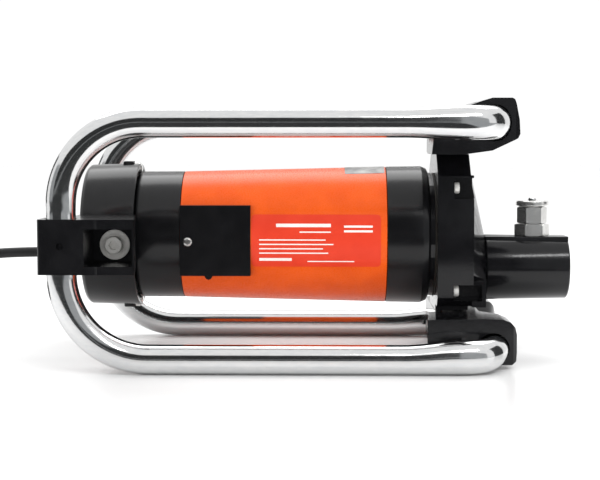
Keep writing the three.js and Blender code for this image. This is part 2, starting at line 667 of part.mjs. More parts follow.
function tubeSocket(side, z, halfHeight) {
  const hole = new THREE.CylinderGeometry(TUBE_HOLE, TUBE_HOLE, 40, FINE);
  hole.scale(1, 1, halfHeight / TUBE_RADIUS);
  return solid(hole.translate(TUBE_FRONT_X, side * (TUBE_END_Y - GAP + 20), z));
}

function makeCrossbars() {
  const height = [-1, 210];
  const width = [-CROSSBAR_Y - 1, CROSSBAR_Y + 1];
  const variants = [
    ["top", TOP_PROFILE, [86.4, 86.4], TUBE_TOP_Z, 12.6, [184, 215], [140, 215]],
    ["bottom", BOTTOM_PROFILE, [84, 88.5], LEG_BOTTOM_Z, 10.7, [-10, 14], [-10, 60]],
  ];
  variants.forEach(([name, profile, rear, tubeZ, halfHeight, counterbore, through]) => {
    const bar = prismY(profile, width).intersect(prismZ(crossbarPlan(rear), height));
    const sockets = SIDES.map(([, side]) => tubeSocket(side, tubeZ, halfHeight));
    const boltHoles = SIDES.flatMap(([, side]) => [
      rodZ(7, counterbore).translate([CROSSBAR_BOLT_X, side * CROSSBAR_BOLT_Y, 0]),
      rodZ(BOLT_HOLE, through).translate([CROSSBAR_BOLT_X, side * CROSSBAR_BOLT_Y, 0]),
    ]);
    piece(vibrator, "crossbar_" + name, cut(bar, ...sockets, ...boltHoles), BLACK_PAINT);
  });
}

function makeClampBlocks() {
  SIDES.forEach(([name, side]) => {
    const height = [BLOCK_LOW, BLOCK_HIGH];
    const outer = prismZ(roundedRectangle(BLOCK_REAR, BLOCK_STEP + 10, -BLOCK_OUTER_Y, -95, 3), height);
    const arm = prismZ([
      [COVER_REAR, -BLOCK_OUTER_Y + 1], [BLOCK_FRONT, -BLOCK_OUTER_Y + 1], [BLOCK_FRONT, -BLOCK_OUTER_Y + 6],
      [BLOCK_FRONT - BLOCK_TAPER, -40], [COVER_REAR, -40],
    ], height);
    const pocketHeight = [BLOCK_LOW + 6, BLOCK_HIGH - 7];
    const pocket = prismZ([
      [BLOCK_STEP, -BLOCK_OUTER_Y - 2], [BLOCK_FRONT - 1.2, -BLOCK_OUTER_Y - 2],
      [BLOCK_FRONT - 1.2, -BLOCK_OUTER_Y + 6], [BLOCK_FRONT - 1.2 - BLOCK_TAPER / 2, -POCKET_FLOOR_Y],
      [BLOCK_STEP, -POCKET_FLOOR_Y],
    ], pocketHeight);
    const cover = rodX(COVER_RADIUS + GAP, [-195, -120], ROUND).translate([0, 0, MOTOR_Z]);
    const tubeHole = rodZ(TUBE_HOLE, [60, 130]).translate([TUBE_LEG_X, -TUBE_Y, 0]);
    const screwHole = rodY(2.6, TUBE_LEG_X + 1.5, 94.5, [-130, -118], 12);
    const boltHole = rodY(BOLT_HOLE, CLAMP_BOLT_X, CLAMP_BOLT_Z, [-90, -40], FINE);
    const block = cut(join(outer, arm), pocket, cover, tubeHole, screwHole, boltHole);
    const shape = side < 0 ? block : block.mirror([0, 1, 0]);
    piece(vibrator, "clamp_block_" + name, shape, BLACK_PLASTIC);
    const washerFace = POCKET_FLOOR_Y + GAP;
    const washer = cut(
      rodY(WASHER_RADIUS, CLAMP_BOLT_X, CLAMP_BOLT_Z, span(side, washerFace, washerFace + WASHER_THICKNESS)),
      rodY(BOLT_HOLE, CLAMP_BOLT_X, CLAMP_BOLT_Z, span(side, washerFace - 1, washerFace + 3)),
    );
    piece(vibrator, "clamp_washer_" + name, washer, STEEL);
    const headLow = washerFace + WASHER_THICKNESS + GAP;
    const bolt = cut(
      join(
        rodY(BOLT_HEAD, CLAMP_BOLT_X, CLAMP_BOLT_Z, span(side, headLow, headLow + 8)),
        rodY(BOLT_RADIUS, CLAMP_BOLT_X, CLAMP_BOLT_Z, span(side, 38, headLow + 1)),
      ),
      rodY(3.4, CLAMP_BOLT_X, CLAMP_BOLT_Z, span(side, headLow + 3.5, headLow + 9), 6),
    );
    piece(vibrator, "clamp_bolt_" + name, bolt, STEEL);
  });
}

function makeCrossbarBolts() {
  const variants = [
    ["top", 184.3, 1, CROSSBAR_BOLT_TIPS[1] + GAP],
    ["bottom", 13.7, -1, CROSSBAR_BOLT_TIPS[0] - GAP],
  ];
  variants.forEach(([level, seat, up, tip]) => {
    SIDES.forEach(([name, side]) => {
      const head = rodZ(BOLT_HEAD, up > 0 ? [seat, seat + 5] : [seat - 5, seat]);
      const shank = rodZ(BOLT_RADIUS, up > 0 ? [tip, seat + 1] : [seat - 1, tip]);
      const bolt = join(head, shank).translate([CROSSBAR_BOLT_X, side * CROSSBAR_BOLT_Y, 0]);
      piece(vibrator, "crossbar_bolt_" + level + "_" + name, bolt, STEEL);
    });
  });
}

// ---- Switch, cable and plug ----
function makeSwitch() {
  const body = cut(
    join(
      box([COVER_REAR - 2, COVER_REAR - GAP], [-13, 13], [5, 29]),
      box([COVER_REAR - 1, COVER_REAR + 22], [-10.8, 10.8], [7.2, 26.8]),
    ),
    box([COVER_REAR - 3, COVER_REAR + 9], [-6.3, 6.3], [8.7, 25.3]),
  );
  piece(motor, "switch_body", body, BLACK_PLASTIC);
  const outline = [[-3.5, 7], [-2.2, 0], [-3.5, -7], [2.5, -6], [5, 0], [2.5, 6]];
  const rocker = piece(motor, "switch_rocker", prismY(outline, [-6, 6]), RED_PLASTIC);
  rocker.position.set(SWITCH_PIVOT_X, 0, SWITCH_PIVOT_Z - MOTOR_Z);
  rocker.rotation.y = -ROCKER_TILT;
}

function makeCable() {
  const z = CABLE_EXIT_Z;
  const root = COVER_REAR - GAP;
  const relief = cut(
    turnedX([
      [root - STRAIN_RELIEF_LENGTH, 0], [root - STRAIN_RELIEF_LENGTH, 5.4], [root - 8, 7.4], [root - 4, 7.6],
      [root - 4, 9], [root, 9], [root, 0],
    ], FINE),
    rodX(CABLE_RADIUS + 2 * GAP, [root - STRAIN_RELIEF_LENGTH - 1, root - STRAIN_RELIEF_LENGTH + 12]),
  );
  piece(vibrator, "strain_relief", relief.translate([0, 0, z]), RUBBER);

  const route = [
    [-209, 81.5], [-224, 81.4], [-240, 81], [-256, 80.2], [-272, 78], [-287, 73], [-300, 65], [-310.5, 54.5],
    [-319, 42.5], [-327, 30.5], [-336, 19.5], [-347, 11], [-359, 6], [-370.5, 4.3],
  ];
  const points = route.map(([x, height]) => new THREE.Vector3(x, 0, height));
  piece(vibrator, "cable", tubeAlong(points, CABLE_RADIUS, 10), RUBBER);

  const coil = turnedZ([
    [COIL_MEAN_RADIUS - COIL_HALF_WIDTH, 0], [COIL_MEAN_RADIUS + COIL_HALF_WIDTH, 0],
    [COIL_MEAN_RADIUS + COIL_HALF_WIDTH, COIL_HEIGHT], [COIL_MEAN_RADIUS - COIL_HALF_WIDTH, COIL_HEIGHT],
    [COIL_MEAN_RADIUS - COIL_HALF_WIDTH, 0],
  ]);
  piece(vibrator, "cable_coil", coil.translate([COIL_X, COIL_Y, 0]), RUBBER);
}

// A two-pin plug that lies beside the coil, its lead leaving the coil's top turn.
function makePlug() {
  const rear = COIL_X + 34;
  const body = turnedX([
    [rear, 0], [rear, 5], [rear + 20, 7.5], [rear + 22, 12], [rear + 32, 17.5], [rear + 48, 18.5],
    [rear + 50, 17.5], [rear + 50, 0],
  ], FINE);
  const pins = [-1, 1].map((side) => rodX(2.4, [rear + 49, rear + 69], SMALL).translate([0, side * 9.5, 0]));
  piece(vibrator, "plug", join(body, ...pins).translate([0, COIL_Y + COIL_OUTER_TURN, PLUG_Z]), RUBBER);
}

makeRearCover();
makeCoverScrews();
makeEndShield();
makeMotorHousing();
makeFrontRing();
makeBrushCovers();
makeStator();
makeArmature();
makeBrushGear();
makeBearingPlate();
makeGearHousing();
makeGears();
makeSpindle();
makeNozzle();
makeLock();
makeHandleTubes();
makeCrossbars();
makeCrossbarBolts();
makeClampBlocks();
makeSwitch();
makeCable();
makePlug();

export default vibrator;
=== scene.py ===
"""Looks of the concrete vibrator's drive unit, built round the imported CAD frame. Metres, +Z up."""

import json
import math

import bmesh
import bpy
from mathutils import Matrix, Vector


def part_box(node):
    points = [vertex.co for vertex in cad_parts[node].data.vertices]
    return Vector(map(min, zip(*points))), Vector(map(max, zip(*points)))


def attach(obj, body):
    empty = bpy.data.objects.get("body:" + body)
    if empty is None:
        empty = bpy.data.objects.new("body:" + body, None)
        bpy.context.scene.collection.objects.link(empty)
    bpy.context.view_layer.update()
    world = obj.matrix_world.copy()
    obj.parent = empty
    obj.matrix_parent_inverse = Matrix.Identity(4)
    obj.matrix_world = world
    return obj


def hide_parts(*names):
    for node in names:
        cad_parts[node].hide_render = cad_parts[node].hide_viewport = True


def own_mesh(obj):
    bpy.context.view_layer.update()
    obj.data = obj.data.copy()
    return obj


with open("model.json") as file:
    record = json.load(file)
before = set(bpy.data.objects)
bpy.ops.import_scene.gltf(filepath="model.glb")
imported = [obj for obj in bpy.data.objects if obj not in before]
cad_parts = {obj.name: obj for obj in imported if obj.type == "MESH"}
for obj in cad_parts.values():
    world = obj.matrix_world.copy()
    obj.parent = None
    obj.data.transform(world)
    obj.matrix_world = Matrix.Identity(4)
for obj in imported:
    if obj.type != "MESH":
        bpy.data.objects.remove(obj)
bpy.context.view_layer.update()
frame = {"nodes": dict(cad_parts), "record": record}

MM = 0.001

# ---- Driving dimensions in metres ----
HOUSING_REAR, HOUSING_FRONT = (corner.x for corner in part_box("motor_housing"))
COVER_REAR, COVER_FRONT = (corner.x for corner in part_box("rear_cover"))
TUBE_RADIUS = 11 * MM
CORD_RADIUS = 4 * MM

# ---- Places and sizes that several pieces share, in millimetres ----
MOTOR_Z = 96
SPINDLE_Z = 70
CABLE_Z = 81.5
COVER_RADIUS = 56.5
COVER_SCREW_REACH = 52.2
HOUSING_REAR_RADIUS, HOUSING_FRONT_RADIUS = 50.1, 53.8
BRUSH_SCREW_X, BRUSH_SCREW_Z = -97.85, 93
CLAMP_BOLT_X, CLAMP_BOLT_Z = -149.5, 93
CLAMP_BOLT_HOLE = 4.3
CROSSBAR_BOLT_X, CROSSBAR_BOLT_Y = 104, 18
BOLT_SHANK = 3.95
LOCK_X = 172.35
LOCK_PIN_RADIUS = 2.75

# ---- Names and signs of the two sides, and how finely pieces are rounded: degrees and counts ----
SIDES = (("right", -1), ("left", 1))
SMOOTH_ANGLE = 32.0
BEVEL_STEPS = 3
ARC_STEPS = 3
ARC_SHARE = 0.48


def to_mm(value):
    return value / MM


def smoothstep(value, low, high):
    """0 below low and 1 above high, with a soft start and end between them."""
    share = min(max((value - low) / (high - low), 0), 1)
    return share * share * (3 - 2 * share)


# ---- Camera: level with the top tube, looking slightly down ----
def make_camera():
    data = bpy.data.cameras.new("camera")
    data.lens, data.sensor_width = 89.04, 36
    data.clip_start, data.clip_end = 0.05, 60
    camera = bpy.data.objects.new("camera", data)
    camera.location = (8.15 * MM, -1185 * MM, 171 * MM)
    camera.rotation_euler = (math.radians(90 - 3.855), 0, math.radians(1.0))
    bpy.context.scene.collection.objects.link(camera)
    bpy.context.scene.camera = camera


make_camera()

# ---- Cord route: out of the strain relief, down to the floor, and into the coil ----
CABLE_LINE = [
    (-196, 81.5), (-209, 81.5), (-224, 81.4), (-240, 81), (-256, 80.2), (-272, 78), (-287, 73), (-300, 65),
    (-310.5, 54.5), (-319, 42.5), (-327, 30.5), (-336, 19.5), (-347, 11), (-359, 6), (-370.5, 4.3),
]
LEAD_IN = (-385, 0, 4.2)
COIL_CENTRE = (-402, 53)
COIL_TURNS = ((53, 45, 37), (37, 45, 53), (53,))
COIL_LEVELS = (4.2, 12.2, 20.2)
POINTS_PER_TURN = 24
MOVE_OVER_FROM = 0.6
PLUG_REAR = (-368, 106, 18.6)
PLUG_LINE = ((-392, 106, 20.2), (-381, 106, 19.6), (-362, 106, 18.6))


def coil_points():
    """Points of the coil, clockwise from its south point. Each turn keeps its radius for most of the way
    round and then moves over to the next one. The last turn is a half."""
    turns = [(radius, level) for level, row in zip(COIL_LEVELS, COIL_TURNS) for radius in row]
    centre_x, centre_y = COIL_CENTRE
    points = []
    for index, (radius, level) in enumerate(turns):
        last = index == len(turns) - 1
        count = POINTS_PER_TURN // 2 if last else POINTS_PER_TURN
        next_radius, next_level = turns[index] if last else turns[index + 1]
        for step in range(count):
            share = step / POINTS_PER_TURN
            over = smoothstep(share, MOVE_OVER_FROM, 1)
            r = radius + (next_radius - radius) * over
            z = level + (next_level - level) * over
            angle = -math.pi / 2 - 2 * math.pi * share
            points.append((centre_x + r * math.cos(angle), centre_y + r * math.sin(angle), z))
    last_radius, last_level = turns[-1]
    points.append((centre_x, centre_y + last_radius, last_level))
    return points


def cord_points():
    line = [(x, 0, z) for x, z in CABLE_LINE]
    return [Vector(p) * MM for p in [*line, LEAD_IN, *coil_points(), *PLUG_LINE]]


def make_cord(material):
    points = cord_points()
    data = bpy.data.curves.new("cable_cord", "CURVE")
    data.dimensions = "3D"
    spline = data.splines.new("NURBS")
    spline.points.add(len(points) - 1)
    for place, point in zip(spline.points, points):
        place.co = (*point, 1)
    spline.order_u = 4
    spline.use_endpoint_u = True
    spline.resolution_u = 6
    data.bevel_depth = CORD_RADIUS
    data.bevel_resolution = 5
    data.use_fill_caps = True
    data.materials.append(material)
    cord = bpy.data.objects.new("cable_cord", data)
    bpy.context.scene.collection.objects.link(cord)
    length = sum((b - a).length for a, b in zip(points, points[1:]))
    return cord, length


# ---- Materials ----
class Nodes:
    """A node tree being wired, with a short way to add nodes."""

    def __init__(self, name):
        self.material = bpy.data.materials.new(name)
        self.material.use_nodes = True
        self.tree = self.material.node_tree
        self.shader = self.tree.nodes["Principled BSDF"]
        coordinates = self.tree.nodes.new("ShaderNodeTexCoord")
        self.place = coordinates.outputs["Object"]

    def link(self, source, target):
        self.tree.links.new(source, target)

    def noise(self, scale, detail=3.0, roughness=0.5, stretch=None):
        source = self.place
        if stretch:
            mapping = self.tree.nodes.new("ShaderNodeMapping")
            mapping.inputs["Scale"].default_value = stretch
            self.link(source, mapping.inputs["Vector"])
            source = mapping.outputs["Vector"]
        texture = self.tree.nodes.new("ShaderNodeTexNoise")
        texture.inputs["Scale"].default_value = scale
        texture.inputs["Detail"].default_value = detail
        texture.inputs["Roughness"].default_value = roughness
        self.link(source, texture.inputs["Vector"])
        return texture.outputs["Fac"]

    def ramp(self, source, low, high):
        """A number that runs from low to high as the source runs over its usual range."""
        node = self.tree.nodes.new("ShaderNodeMapRange")
        node.inputs["From Min"].default_value = 0.3
        node.inputs["From Max"].default_value = 0.7
        node.inputs["To Min"].default_value = low
        node.inputs["To Max"].default_value = high
        self.link(source, node.inputs["Value"])
        return node.outputs["Result"]

    def colours(self, source, first, second):
        node = self.tree.nodes.new("ShaderNodeValToRGB")
        node.color_ramp.elements[0].position = 0.35
        node.color_ramp.elements[0].color = (*first, 1)
        node.color_ramp.elements[1].position = 0.65
        node.color_ramp.elements[1].color = (*second, 1)
        self.link(source, node.inputs["Fac"])
        return node.outputs["Color"]

    def bump(self, source, distance, under=None):
        node = self.tree.nodes.new("ShaderNodeBump")
        node.inputs["Distance"].default_value = distance
        node.inputs["Strength"].default_value = 1.0
        self.link(source, node.inputs["Height"])
        if under:
            self.link(under, node.inputs["Normal"])
        return node.outputs["Normal"]


def surface(name, first, second, rough, grain, depth, metallic=0.0, drift=60.0, stretch=None, specular=0.5):
    """A material whose colour drifts in patches, with a finer grain in its roughness and its bump."""
    nodes = Nodes(name)
    patches = nodes.noise(drift, 4.0, 0.55, stretch)
    fine = nodes.noise(grain, 2.0, 0.5, stretch)
    nodes.link(nodes.colours(patches, first, second), nodes.shader.inputs["Base Color"])
    nodes.link(nodes.ramp(fine, *rough), nodes.shader.inputs["Roughness"])
    nodes.link(nodes.bump(fine, depth), nodes.shader.inputs["Normal"])
    nodes.shader.inputs["Metallic"].default_value = metallic
    nodes.shader.inputs["Specular IOR Level"].default_value = specular
    return nodes.material


def chrome_material():
    """Plated tube: polished, with the faint waviness of the tube below the plating."""
    nodes = Nodes("chrome_plate")
    wave = nodes.noise(22.0, 1.0, 0.4, (0.35, 1.0, 1.0))
    scuffs = nodes.noise(420.0, 3.0, 0.6, (0.25, 1.0, 1.0))
    plating = nodes.colours(scuffs, (0.66, 0.668, 0.675), (0.72, 0.72, 0.716))
    nodes.link(plating, nodes.shader.inputs["Base Color"])
    nodes.link(nodes.ramp(scuffs, 0.085, 0.14), nodes.shader.inputs["Roughness"])
    soft = nodes.bump(wave, 0.25 * MM)
    nodes.link(nodes.bump(scuffs, 0.002 * MM, soft), nodes.shader.inputs["Normal"])
    nodes.shader.inputs["Metallic"].default_value = 1.0
    return nodes.material


MATERIALS = {
    "black_plastic": surface(
        "black_plastic", (0.0036, 0.0036, 0.0042), (0.006, 0.006, 0.0068), (0.17, 0.25), 1500, 0.015 * MM,
        specular=0.34),
    "black_paint": surface(
        "black_paint", (0.0032, 0.0032, 0.0038), (0.0055, 0.0055, 0.0064), (0.12, 0.2), 700, 0.02 * MM,
        specular=0.36),
    "orange_plastic": surface(
        "orange_plastic", (0.64, 0.074, 0.003), (0.70, 0.088, 0.005), (0.24, 0.33), 1300, 0.02 * MM,
        specular=0.25),
    "chrome": chrome_material(),
    "steel": surface(
        "zinc_plated_steel", (0.50, 0.50, 0.49), (0.64, 0.64, 0.63), (0.2, 0.38), 500, 0.02 * MM, 1.0, 150),
    "copper": surface(
        "enamelled_copper", (0.42, 0.15, 0.06), (0.62, 0.27, 0.12), (0.25, 0.4), 900, 0.1 * MM, 1.0, 200,
        (6.0, 1.0, 1.0)),
    "lamination": surface(
        "steel_laminations", (0.16, 0.165, 0.17), (0.3, 0.3, 0.31), (0.4, 0.6), 300, 0.08 * MM, 1.0, 90,
        (9.0, 0.2, 0.2)),
    "rubber": surface(
        "black_rubber", (0.0075, 0.0075, 0.008), (0.012, 0.012, 0.013), (0.45, 0.6), 1200, 0.04 * MM,
        specular=0.3),
    "red_plastic": surface(
        "red_plastic", (0.45, 0.012, 0.012), (0.55, 0.02, 0.02), (0.22, 0.32), 1500, 0.01 * MM),
    "carbon": surface(
        "pressed_carbon", (0.02, 0.02, 0.022), (0.04, 0.04, 0.043), (0.5, 0.7), 800, 0.05 * MM),
    "brass": surface(
        "bare_brass", (0.55, 0.36, 0.13), (0.7, 0.5, 0.22), (0.25, 0.42), 500, 0.03 * MM, 1.0, 150,
        (6.0, 1.0, 1.0)),
    # The gasket is coloured nearly black: painted shade for the dark gap between the front ring and the gear
    # housing.
    "gasket_paper": surface(
        "gasket_paper_gap_shade", (0.012, 0.01, 0.008), (0.022, 0.018, 0.013), (0.6, 0.8), 900, 0.05 * MM),
}
LABEL = surface(
    "label_film", (0.60, 0.034, 0.010), (0.64, 0.041, 0.013), (0.3, 0.4), 900, 0.008 * MM, specular=0.3)
PRINT = surface("label_print", (0.72, 0.66, 0.62), (0.8, 0.76, 0.72), (0.4, 0.5), 900, 0.005 * MM)
STICKER = surface("sticker_film", (0.10, 0.10, 0.10), (0.36, 0.36, 0.35), (0.35, 0.5), 300, 0.02 * MM)
PLATED = surface(
    "nickel_plate", (0.60, 0.595, 0.58), (0.70, 0.695, 0.68), (0.15, 0.24), 700, 0.003 * MM, 0.92, 120)
ZINC = surface(
    "zinc_plate", (0.74, 0.73, 0.70), (0.84, 0.83, 0.80), (0.4, 0.55), 700, 0.015 * MM, 0.5, 120)


# ---- Mesh helpers ----
def new_piece(name, bm, material, smooth=SMOOTH_ANGLE):
    bmesh.ops.recalc_face_normals(bm, faces=bm.faces)
    mesh = bpy.data.meshes.new(name)
    bm.to_mesh(mesh)
    bm.free()
    if material:
        mesh.materials.append(material)
    piece = bpy.data.objects.new(name, mesh)
    bpy.context.scene.collection.objects.link(piece)
    smooth_by_angle(mesh, smooth)
    return piece


def smooth_by_angle(mesh, degrees):
    mesh.polygons.foreach_set("use_smooth", [True] * len(mesh.polygons))
    mesh.set_sharp_from_angle(angle=math.radians(degrees))


def declare(piece, body="body", stands_for=()):
    """Says which body a piece rides on and which CAD nodes it takes the place of."""
    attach(piece, body)
    for node in stands_for:
        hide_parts(node)
    return piece


def filleted(corners, steps):
    """The closed outline with its corners rounded by arcs. A corner's third number is its radius. A corner
    stays as it is where that is 0 or the outline hardly turns. An arc takes at most a share of each side."""
    rounded = []
    for index, (across, up, radius) in enumerate(corners):
        here = Vector((across, up))
        back = Vector(corners[index - 1][:2]) - here
        ahead = Vector(corners[(index + 1) % len(corners)][:2]) - here
        half = back.angle(ahead) / 2 if radius > 0 else 0
        if radius <= 0 or half > math.radians(86):
            rounded.append(here)
            continue
        reach = min(radius / math.tan(half), back.length * ARC_SHARE, ahead.length * ARC_SHARE)
        arc_radius = reach * math.tan(half)
        start, end = here + back.normalized() * reach, here + ahead.normalized() * reach
        inward = (back.normalized() + ahead.normalized()).normalized()
        middle = here + inward * (arc_radius / math.sin(half))
        first, last = start - middle, end - middle
        sweep = first.angle_signed(last)
        for step in range(steps + 1):
            rounded.append(middle + Matrix.Rotation(-sweep * step / steps, 2) @ first)
    return [(p.x, p.y) for p in rounded]


def lathe(outline, axis, centre, segments=96):
    """A bmesh of an outline turned about a line along the axis. A corner of the outline is a station along
    the line, a distance from it and the radius of its rounding, in millimetres."""
    bm = bmesh.new()
    rings = []
    for station, reach in filleted(outline, ARC_STEPS):
        if reach < 1e-6:
            rings.append([bm.verts.new(on_axis(axis, centre, station, 0, 0))])
            continue
        ring = []
        for k in range(segments):
            angle = 2 * math.pi * k / segments
            ring.append(bm.verts.new(
                on_axis(axis, centre, station, reach * math.cos(angle), reach * math.sin(angle))))
        rings.append(ring)
    for ring, after in zip(rings, rings[1:] + rings[:1]):
        if len(ring) == 1 and len(after) == 1:
            continue
        for k in range(segments):
            j = (k + 1) % segments
            corners = [ring[k % len(ring)], ring[j % len(ring)], after[j % len(after)], after[k % len(after)]]
            unique = list(dict.fromkeys(corners))
            if len(unique) > 2:
                bm.faces.new(unique)
    bmesh.ops.remove_doubles(bm, verts=bm.verts, dist=1e-7)
    return bm


def on_axis(axis, centre, station, across, up):
    """A point in metres, at a station along an axis through the centre and off to its side."""
    x, y, z = centre
    if axis == "X":
        return ((x + station) * MM, (y + across) * MM, (z + up) * MM)
    if axis == "Y":
        return ((x + across) * MM, (y + station) * MM, (z + up) * MM)
    return ((x + across) * MM, (y + up) * MM, (z + station) * MM)


def rod(low, high, reach, axis, centre, segments):
    """A bmesh of a plain round bar between two stations along an axis, used to cut a hole."""
    return lathe([(low, 0, 0), (low, reach, 0), (high, reach, 0), (high, 0, 0)], axis, centre, segments)


def prism(outline, low, high, axis="Z", bevel=0.0):
    """A bmesh of an outline in millimetres, made solid between two stations along an axis."""
    bm = bmesh.new()
    place = {
        "X": lambda a, b, s: (s * MM, a * MM, b * MM),
        "Y": lambda a, b, s: (a * MM, s * MM, b * MM),
        "Z": lambda a, b, s: (a * MM, b * MM, s * MM),
    }[axis]
    base = [bm.verts.new(place(a, b, low)) for a, b in outline]
    top = [bm.verts.new(place(a, b, high)) for a, b in outline]
    count = len(outline)
    bm.faces.new(base[::-1])
    bm.faces.new(top)
    for k in range(count):
        j = (k + 1) % count
        bm.faces.new((base[k], base[j], top[j], top[k]))
    bmesh.ops.recalc_face_normals(bm, faces=bm.faces)
    if bevel:
        soften(bm, bevel, 30)
    return bm


def soften(bm, width, angle):
    """Rounds every edge that turns by more than an angle in degrees."""
    edges = [e for e in bm.edges if len(e.link_faces) == 2 and e.calc_face_angle(0) > math.radians(angle)]
    bmesh.ops.bevel(
        bm, geom=edges, offset=width * MM, offset_type="OFFSET", segments=BEVEL_STEPS, profile=0.5,
        affect="EDGES", clamp_overlap=True)


def hexagon(across_flats, centre):
    corner = across_flats / math.sqrt(3)
    angles = [k * math.pi / 3 for k in range(6)]
    return [(centre[0] + corner * math.cos(a), centre[1] + corner * math.sin(a)) for a in angles]


def block(x, y, z, bevel=0.0):
    """A bmesh of a box, given as its two ends along each axis in millimetres."""
    outline = [(x[0], y[0]), (x[1], y[0]), (x[1], y[1]), (x[0], y[1])]
    return prism(outline, z[0], z[1], "Z", bevel)


def combined(piece, tools, operation="DIFFERENCE"):
    """Cuts a piece with other meshes, joins it to them or keeps what they share. They are used up."""
    cutters = [new_piece("cutter", bm, None) for bm in tools]
    for cutter in cutters:
        modifier = piece.modifiers.new("carve", "BOOLEAN")
        modifier.object, modifier.operation, modifier.solver = cutter, operation, "EXACT"
    bpy.context.view_layer.update()
    made = bpy.data.meshes.new_from_object(piece.evaluated_get(bpy.context.evaluated_depsgraph_get()))
    piece.modifiers.clear()
    piece.data = made
    for cutter in cutters:
        bpy.data.objects.remove(cutter)
    smooth_by_angle(made, SMOOTH_ANGLE)
    return piece


def refined(node, name, width, material):
    """A finer copy of a CAD node, with its flat faces joined up and its edges rounded."""
    bm = bmesh.new()
    bm.from_mesh(frame["nodes"][node].data)
    bmesh.ops.remove_doubles(bm, verts=bm.verts, dist=0.02 * MM)
    bmesh.ops.dissolve_limit(bm, angle_limit=math.radians(0.6), verts=bm.verts, edges=bm.edges)
    soften(bm, width, 35)
    piece = new_piece(name, bm, material)
    piece.modifiers.new("even_shading", "WEIGHTED_NORMAL").keep_sharp = True
    return piece


# ---- Handle tubes ----
TUBE_Y, TUBE_TOP, TUBE_LOW, LEG_X, FRONT_X, END_Y = 110, 183.6, 11, -184.65, 133.2, 62
TOP_BEND, BOTTOM_BEND, FRONT_BEND = 59, 63, 25
END_STUB = 12
TUBE_SIDES = 48
TOP_STATIONS = range(104, -124, -6)
LOW_STATIONS = range(-118, 106, 6)
# The front of each handle is pressed taller, and its lower end lies higher inside the crossbar.
PRESS_START, PRESS_END = 65, 108
PRESS_TALLER = 0.14
RAISED_Z = 15.75
RAISED_SHARE = 0.96
RAISE_START = -5
# The leg is a little thinner where it enters the clamp block.
NECK_Z, NECK_REACH, NECK_DEPTH = 119, 5, 0.018
NECK_STATIONS = (122.5, 120.5, 118.5, 116.5, 114.5, 112, 106, 100, 94, 88, 82, 77)


def quarter(corner, start, end, radius, count):
    """Points of a bend that comes in along start and leaves along end."""
    middle = corner - start * radius + end * radius
    angles = [math.pi / 2 * k / count for k in range(count + 1)]
    return [middle - end * radius * math.cos(a) + start * radius * math.sin(a) for a in angles]


def tube_line(side):
    """The centre line of one handle, from its top end to its bottom end, in millimetres."""
    y = side * TUBE_Y
    forward, down, out = Vector((1, 0, 0)), Vector((0, 0, -1)), Vector((0, side, 0))
    stub_y = side * (END_Y + END_STUB)
    return [
        Vector((FRONT_X, side * END_Y, TUBE_TOP)), Vector((FRONT_X, stub_y, TUBE_TOP)),
        *quarter(Vector((FRONT_X, y, TUBE_TOP)), out, -forward, FRONT_BEND, 14),
        *[Vector((x, y, TUBE_TOP)) for x in TOP_STATIONS],
        *quarter(Vector((LEG_X, y, TUBE_TOP)), -forward, down, TOP_BEND, 26),
        *[Vector((LEG_X, y, z)) for z in NECK_STATIONS],
        *quarter(Vector((LEG_X, y, TUBE_LOW)), down, forward, BOTTOM_BEND, 28),
        *[Vector((x, y, TUBE_LOW)) for x in LOW_STATIONS],
        *quarter(Vector((FRONT_X, y, TUBE_LOW)), forward, -out, FRONT_BEND, 14),
        Vector((FRONT_X, stub_y, TUBE_LOW)), Vector((FRONT_X, side * END_Y, TUBE_LOW)),
    ]


def pressed(point, side):
    """Where a point of the round tube goes when the front of the handle is pressed into shape."""
    x, y, z = point
    share = smoothstep(x, PRESS_START, PRESS_END)
    inward = smoothstep(TUBE_Y - side * y, RAISE_START, FRONT_BEND)
    tall = 1 + PRESS_TALLER * share
    if z > (TUBE_TOP + TUBE_LOW) / 2:
        return Vector((x, y, TUBE_TOP + (z - TUBE_TOP) * tall))
    raised = RAISED_Z + (z - TUBE_LOW) * RAISED_SHARE
    return Vector((x, y, z * tall + (raised - z * tall) * inward * share))


def tube_ring(bm, point, along, side):
    """One ring of the handle's skin, round a point of its centre line."""
    if abs(along.z) < 0.01:
        first = Vector((0, 0, 1))
    else:
        first = along.cross(Vector((0, 1, 0))).normalized()
    second = along.cross(first).normalized()
    beside_block = math.exp(-((point.z - NECK_Z) / NECK_REACH) ** 2)
    neck = 1 - NECK_DEPTH * beside_block if point.x < LEG_X + TOP_BEND / 2 else 1
    ring = []
    for k in range(TUBE_SIDES):
        angle = 2 * math.pi * k / TUBE_SIDES
        offset = (first * math.cos(angle) + second * math.sin(angle)) * TUBE_RADIUS / MM * neck
        ring.append(bm.verts.new(pressed(point + offset, side) * MM))
    return ring


def join_rings(bm, rings):
    """Closes a tube between its rings, each turned to start next to the start of the one before it."""
    for ring, after in zip(rings, rings[1:]):
        shift = min(range(TUBE_SIDES), key=lambda s: (ring[0].co - after[s].co).length)
        turned = after[shift:] + after[:shift]
        if (ring[1].co - turned[1].co).length > (ring[1].co - turned[-1].co).length:
            turned = [turned[0], *turned[:0:-1]]
        for k in range(TUBE_SIDES):
            j = (k + 1) % TUBE_SIDES
            bm.faces.new((ring[k], ring[j], turned[j], turned[k]))
        after[:] = turned
    bm.faces.new(rings[0])
    bm.faces.new(rings[-1])


def make_handles():
    for name, side in SIDES:
        line = tube_line(side)
        bm = bmesh.new()
        rings = []
        for index, point in enumerate(line):
            along = (line[min(index + 1, len(line) - 1)] - line[max(index - 1, 0)]).normalized()
            rings.append(tube_ring(bm, point, along, side))
        join_rings(bm, rings)
        tube = new_piece("chrome_handle_" + name, bm, MATERIALS["chrome"], 50)
        declare(tube, "body", ["handle_tube_" + name])


